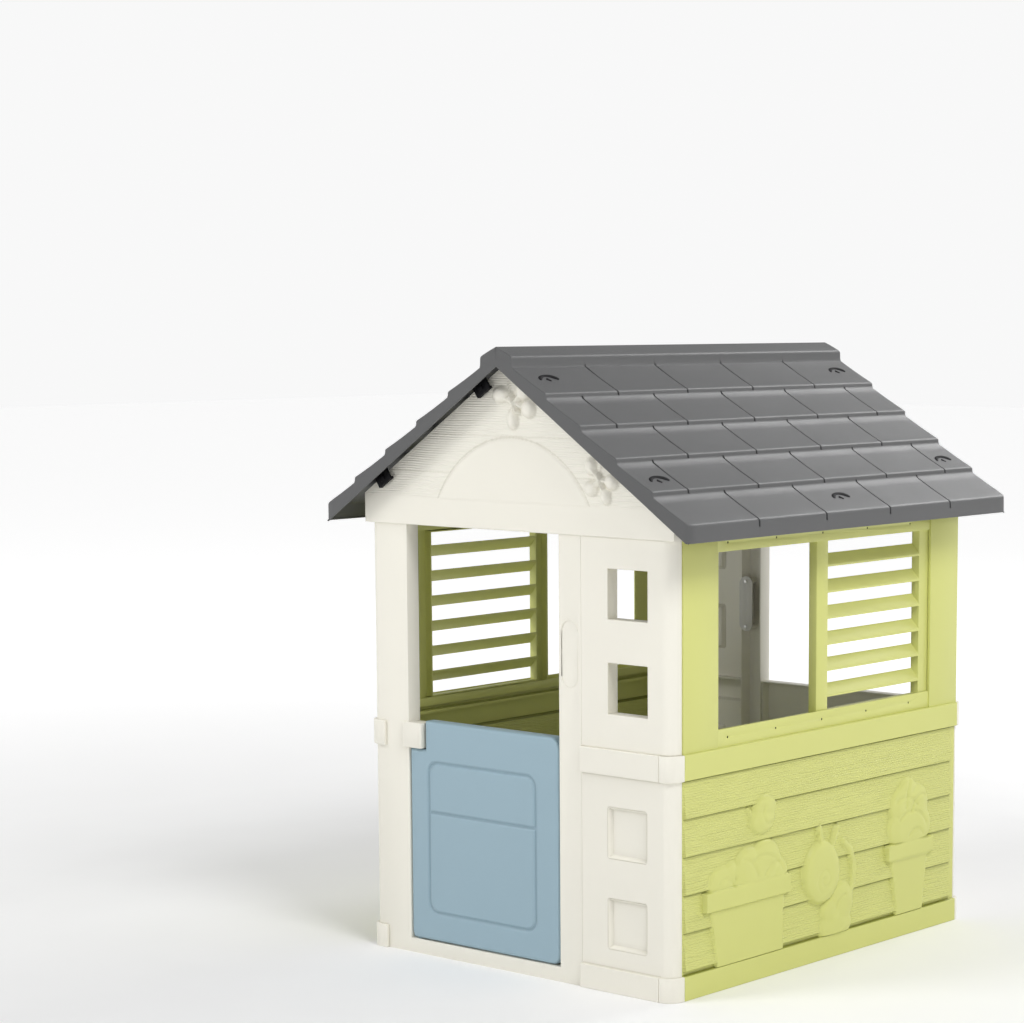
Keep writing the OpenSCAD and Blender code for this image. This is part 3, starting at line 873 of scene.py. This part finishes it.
def release_slots(name, turn):
    """Curved slots over the roof clips, with a small mark inside each."""
    ring = [(16 - 26 * math.sin(math.radians(a)), 30 * math.cos(math.radians(a)), 0)
            for a in np.linspace(25, 155, 11)]
    widths = [4.0, 6.4, 6.8, 6.0, 5.0, 4.4, 4.0, 4.0, 4.6, 4.4, 2.4]
    slot = join_meshes("slot", [tube("arc", ring, widths, flat=0.3),
                                tube("mark", [(1, -7, 0), (10, 0, 0)], [5.0, 3.0], flat=0.3)])
    slope = math.atan(row_fall / row_w)
    obj = repeat(name, slot, [(x, y, roof_surface_z(x) + 0.3) for x, y in slot_places], slope, dark)
    obj.data.transform(turn_about_z(turn))
    smooth_by_angle(obj.data, 50)
    return finish_piece(obj, dark, "house")


# ---------------------------------------------------------------- door
leaf_left, leaf_right, leaf_low, leaf_top = -299, 116, 32, 495
leaf_front, leaf_back = 501, 473
notch_right, notch_low = -256, 435
pivot, pin_r = (-282, -491), 5
groove_box, groove_rail = (-250, 56, 88, 414), 304


def leaf_height(u, v):
    outer = (leaf_left, leaf_right, leaf_low, leaf_top)
    edge = -rounded_box_distance(u, v, outer, 14)
    notch = box_distance(u, v, (leaf_left - 50, notch_right, notch_low, leaf_top + 50))
    h = -edge_drop(np.minimum(edge, notch), 7)
    frame_line = np.abs(rounded_box_distance(u, v, groove_box, 28) + 4.5)
    rail_line = np.where((u > groove_box[0] + 4) & (u < groove_box[1] - 4), np.abs(v - groove_rail), 99)
    groove = np.minimum(frame_line, rail_line)
    return h - 3.2 * (1 - ease(groove, 1.5, 5.5))


def door_leaf():
    """The half door: a hollow leaf with a grooved face, a notch for the bracket and rounded corners."""
    beside = (0, 0.5, 1.5, 3, 5, 7)
    us = grid_lines(leaf_left, leaf_right, 6, (leaf_left, notch_right, leaf_right), beside)
    us = grid_lines_more(us, ((-252, -236), (40, 60)), 2.0)
    vs = grid_lines(leaf_low, leaf_top, 6, (leaf_low, notch_low, leaf_top), beside)
    vs = grid_lines_more(vs, ((84, 106), (296, 312), (396, 418)), 2.0)
    r_top, r_low = 25, 20

    def keep(u, v):
        return u >= notch_right or v <= notch_low

    obj = thin_moulding("door_leaf_shell", us, vs, straight(us, leaf_front), leaf_height,
                        rims=lambda u, v, p, n: (p[0], -leaf_back, v), thick=0, keep=keep)
    for vert in obj.data.vertices:
        for z, sign, r in ((leaf_top, 1, r_top), (leaf_low, -1, r_low)):
            a = (vert.co.x / MM - (leaf_right - r)) / r
            b = sign * (vert.co.z / MM - (z - sign * r)) / r
            if a > 0 and b > 0:
                x, up = round_off(a, b)
                vert.co.x = (leaf_right - r + x * r) * MM
                vert.co.z = (z - sign * r + sign * up * r) * MM
    close_back(obj)
    smooth_by_angle(obj.data, 38)
    return finish_piece(obj, blue, "door", ("door_leaf",))


def close_back(obj):
    """Fills the open back and adds the two hinge pins, in the bracket and in the sill."""
    tool = bmesh.new()
    tool.from_mesh(obj.data)
    rim = [e for e in tool.edges if len(e.link_faces) == 1]
    bmesh.ops.triangle_fill(tool, use_beauty=True, edges=rim)
    bmesh.ops.recalc_face_normals(tool, faces=tool.faces)
    for low, high in ((notch_low, notch_low + 28), (sill_top - 12, leaf_low)):
        made = bmesh.ops.create_cone(tool, cap_ends=True, segments=24, radius1=pin_r * MM,
                                     radius2=pin_r * MM, depth=(high - low) * MM)
        middle = Vector((*pivot, (low + high) / 2)) * MM
        bmesh.ops.translate(tool, verts=made["verts"], vec=middle)
    tool.to_mesh(obj.data)
    tool.free()


def post_mark(name, turn):
    """The fine raised line round the flat place on the door post."""
    x, r, low, high = (door_right + jamb_right) / 2 - 1, 21, 600, 734
    ends = [(x + r * math.cos(a), high - r + r * math.sin(a)) for a in np.linspace(0, math.pi, 13)]
    ends += [(x - r * math.cos(a), low + r - r * math.sin(a)) for a in np.linspace(0, math.pi, 13)]
    mesh = tube(name, [(a, -half_d, b) for a, b in ends + ends[:1]], 0.9, sides=6)
    mesh.transform(turn_about_z(turn))
    obj = new_object(name, mesh)
    smooth_by_angle(mesh, 50)
    return finish_piece(obj, cream, "house")


# ---------------------------------------------------------------- stage, light and camera
# Name, place in metres, side in metres and power in watts of each soft lamp
lamps = (("key", (-2.4, -4.6, 4.6), 2.0, 110),
         ("side", (4.2, -1.6, 5.2), 2.0, 165),
         ("back", (0.8, 5.0, 4.2), 2.6, 130))


def floor_and_light():
    """A pale floor that glows far away, so that it meets the white studio wall, and three soft lamps."""
    mesh = bpy.data.meshes.new("floor")
    size = 30
    corners = [(-size, -size, 0), (size, -size, 0), (size, size, 0), (-size, size, 0)]
    mesh.from_pydata(corners, [], [(0, 1, 2, 3)])
    floor = new_object("floor", mesh)
    t = Tree("pale_floor")
    specks = t.noise((4, 4, 4), 2.0)
    away = t.add("ShaderNodeVectorMath", {"operation": "LENGTH"}, {0: t.place((1, 1, 1))}, out="Value")
    pale = t.mix(specks, (0.90, 0.90, 0.90, 1), (0.93, 0.93, 0.93, 1))
    t.put(t.shader, {"Base Color": pale, "Roughness": 0.9})
    far = t.add("ShaderNodeMapRange", None, {"Value": away, "From Min": 1.6, "From Max": 5.5})
    glow = t.mix(far, (0, 0, 0, 1), (0.55, 0.55, 0.55, 1))
    t.put(t.shader, {"Emission Color": glow, "Emission Strength": 1.0})
    mesh.materials.append(t.material)
    world = bpy.data.worlds.new("studio")
    scene.world = world
    world.use_nodes = True
    background = world.node_tree.nodes["Background"]
    background.inputs["Color"].default_value = (1, 1, 1, 1)
    sky = world.node_tree.nodes.new("ShaderNodeTexCoord")
    parts = world.node_tree.nodes.new("ShaderNodeSeparateXYZ")
    level = world.node_tree.nodes.new("ShaderNodeMapRange")
    for title, value in (("From Min", 0.2), ("From Max", 0.45), ("To Min", 0.94), ("To Max", 0.36)):
        level.inputs[title].default_value = value
    link = world.node_tree.links.new
    link(sky.outputs["Generated"], parts.inputs["Vector"])
    link(parts.outputs["Z"], level.inputs["Value"])
    link(level.outputs["Result"], background.inputs["Strength"])
    for name, place, size, power in lamps:
        light = bpy.data.lights.new(name, "AREA")
        light.size = size
        light.energy = power
        lamp = bpy.data.objects.new(name, light)
        lamp.location = place
        lamp.rotation_euler = (Vector((0, 0, 0.6)) - Vector(place)).to_track_quat("-Z", "Y").to_euler()
        scene.collection.objects.link(lamp)


def front_right_camera():
    """The camera stands low, to the front right of the house."""
    azimuth, elevation, roll = math.radians(39.67), math.radians(7.09), math.radians(-0.07)
    aim, distance = Vector((-31.78, -22.05, 600)) * MM, 5.8949
    width, height, focal = 1024, 1023, 2735.27
    middle_x, middle_y = 654.54, 657.29
    data = bpy.data.cameras.new("camera")
    data.sensor_width = 36
    data.lens = 36 * focal / width
    data.shift_x = (width / 2 - middle_x) / width
    data.shift_y = (middle_y - height / 2) / width
    data.clip_end = 100
    camera = bpy.data.objects.new("camera", data)
    back = Vector((math.sin(azimuth) * math.cos(elevation), -math.cos(azimuth) * math.cos(elevation),
                   math.sin(elevation)))
    camera.location = aim + back * distance
    facing = back.to_track_quat("Z", "Y").to_matrix() @ Matrix.Rotation(roll, 3, "Z")
    camera.rotation_euler = facing.to_euler()
    scene.collection.objects.link(camera)
    scene.camera = camera


# ---------------------------------------------------------------- the house
front_right_camera()
floor_and_light()
scene.view_settings.view_transform = "Standard"

side_lower("right_lower_panel", 90)
side_lower("left_lower_panel", -90)
lower_panel("front_lower_panel", 0)
lower_panel("rear_lower_panel", 180)
upper_panel("front_upper_panel", 0, False)
upper_panel("rear_upper_panel", 180, True)
gable("front_gable", 0)
gable("rear_gable", 180)
roof_half_shell("roof_right", 0)
roof_half_shell("roof_left", 180)
release_slots("roof_right_slots", 0)
release_slots("roof_left_slots", 180)
door_leaf()
post_mark("front_post_mark", 0)
post_mark("rear_post_mark", 180)

for end in ("front", "rear"):
    soften(end + "_door_frame", cream, "house", 1.8)
    soften(end + "_joint_plate", grey, "house", 1.0)
    soften(end + "_joint_screws", steel, "house", 0.5)
    soften(end + "_corner_screws", steel, "house", 0.8)
    soften(end + "_roof_clips", dark, "house", 1.0)
    for side in ("left", "right"):
        soften(f"{end}_{side}_belt_cap", cream, "house", 1.5)
        soften(f"{end}_{side}_skirt_cap", cream, "house", 1.5)
for side in ("right", "left"):
    soften(side + "_window_frame", lime, "house", 1.6)
    soften(side + "_rail_top", lime, "house", 0.8)
    soften(side + "_rail_bottom", lime, "house", 0.8)
    soften(side + "_rail_pegs", dark, "house", 0.3)
    soften(side + "_shutter", lime, side + "_shutter", 1.0)
soften("rear_infill_panel", cream, "house", 1.5)
soften("door_hinge_bracket", cream, "house", 2.0)
soften("eave_clips", dark, "house", 1.0)
